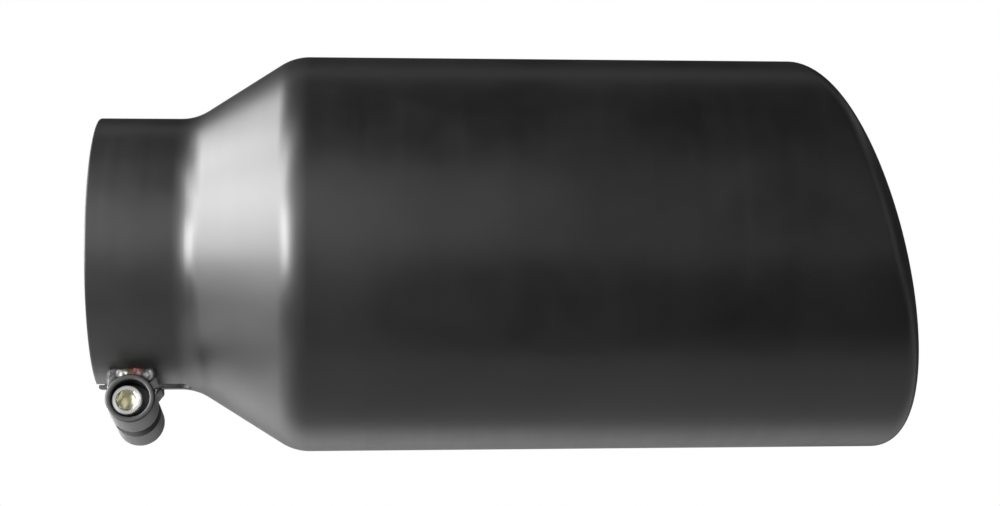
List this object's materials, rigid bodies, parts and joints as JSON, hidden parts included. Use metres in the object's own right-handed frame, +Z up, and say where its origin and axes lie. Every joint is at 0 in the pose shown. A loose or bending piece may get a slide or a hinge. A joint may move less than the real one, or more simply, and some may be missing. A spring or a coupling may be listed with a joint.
{
  "type": "exhaust tip",
  "caption": "Black coated exhaust tip with a split clamp-on neck, a flared cone, a straight barrel body and a rolled lip on a slanted outlet.",
  "frame": {"origin": "centre of the neck's mouth, on the tube axis in the plane of the inlet rim", "axes": "+X along the tube axis from the inlet to the outlet, +Z up, with the slit, the clamp and the long side of the slanted outlet at the bottom"},
  "size_m": [0.307, 0.1524, 0.1524],
  "materials": {
    "black_coating": "satin",
    "bolt_steel": "bright",
    "weld_metal": "rough"
  },
  "bodies": {
    "root": {"tip_shell": "black_coating", "head_lug": "black_coating", "thread_lug": "black_coating", "clamp_bolt": "bolt_steel", "head_lug_weld": "weld_metal", "thread_lug_weld": "weld_metal"}
  },
  "joints": []
}
